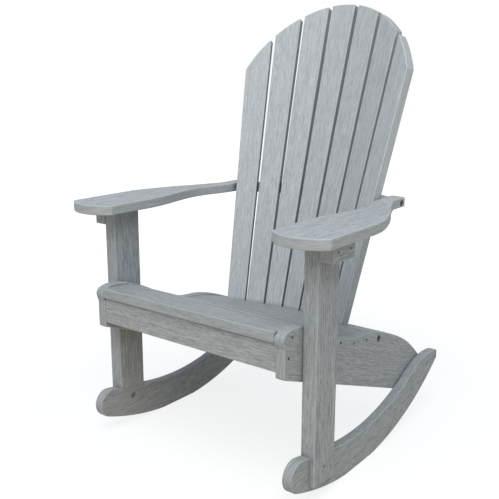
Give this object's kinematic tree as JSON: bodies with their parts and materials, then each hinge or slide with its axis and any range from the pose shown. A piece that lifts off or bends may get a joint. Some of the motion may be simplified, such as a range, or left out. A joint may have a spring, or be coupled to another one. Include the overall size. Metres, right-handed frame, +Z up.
{
  "type": "rocking adirondack chair",
  "caption": "Rocking adirondack chair of grey wood-grained poly lumber: fanned slat back with a round crown, contoured slat seat, broad flat arms and curved runners.",
  "frame": {"origin": "on the floor, under the middle of the chair's outline", "axes": "+Z up, the sitter faces -Y, the chair's own left side is at +X"},
  "size_m": [0.798, 0.7693, 1.1692],
  "materials": {
    "lumber": "matte, with a fine embossed wood grain",
    "steel": "satin"
  },
  "bodies": {
    "root": {"apron_screws": "steel", "arm_block_left": "lumber", "arm_block_right": "lumber", "arm_block_screws": "steel", "arm_brace_bolts": "steel", "arm_left": "lumber", "arm_right": "lumber", "arm_screws": "steel", "back_slat_1": "lumber", "back_slat_2": "lumber", "back_slat_3": "lumber", "back_slat_4": "lumber", "back_slat_5": "lumber", "back_slat_6": "lumber", "back_slat_7": "lumber", "front_apron": "lumber", "front_leg_left": "lumber", "front_leg_right": "lumber", "leg_rail_bolts": "steel", "lower_back_brace": "lumber", "lower_brace_bolts": "steel", "rocker_left": "lumber", "rocker_leg_bolts": "steel", "rocker_leg_nuts": "steel", "rocker_rail_screws": "steel", "rocker_right": "lumber", "seat_board_2": "lumber", "seat_board_3": "lumber", "seat_board_4": "lumber", "seat_board_5": "lumber", "seat_board_front": "lumber", "seat_board_rear": "lumber", "seat_screws": "steel", "side_rail_left": "lumber", "side_rail_right": "lumber", "slat_brace_screws": "steel", "slat_foot_screws": "steel", "upper_back_brace": "lumber"}
  },
  "joints": []
}
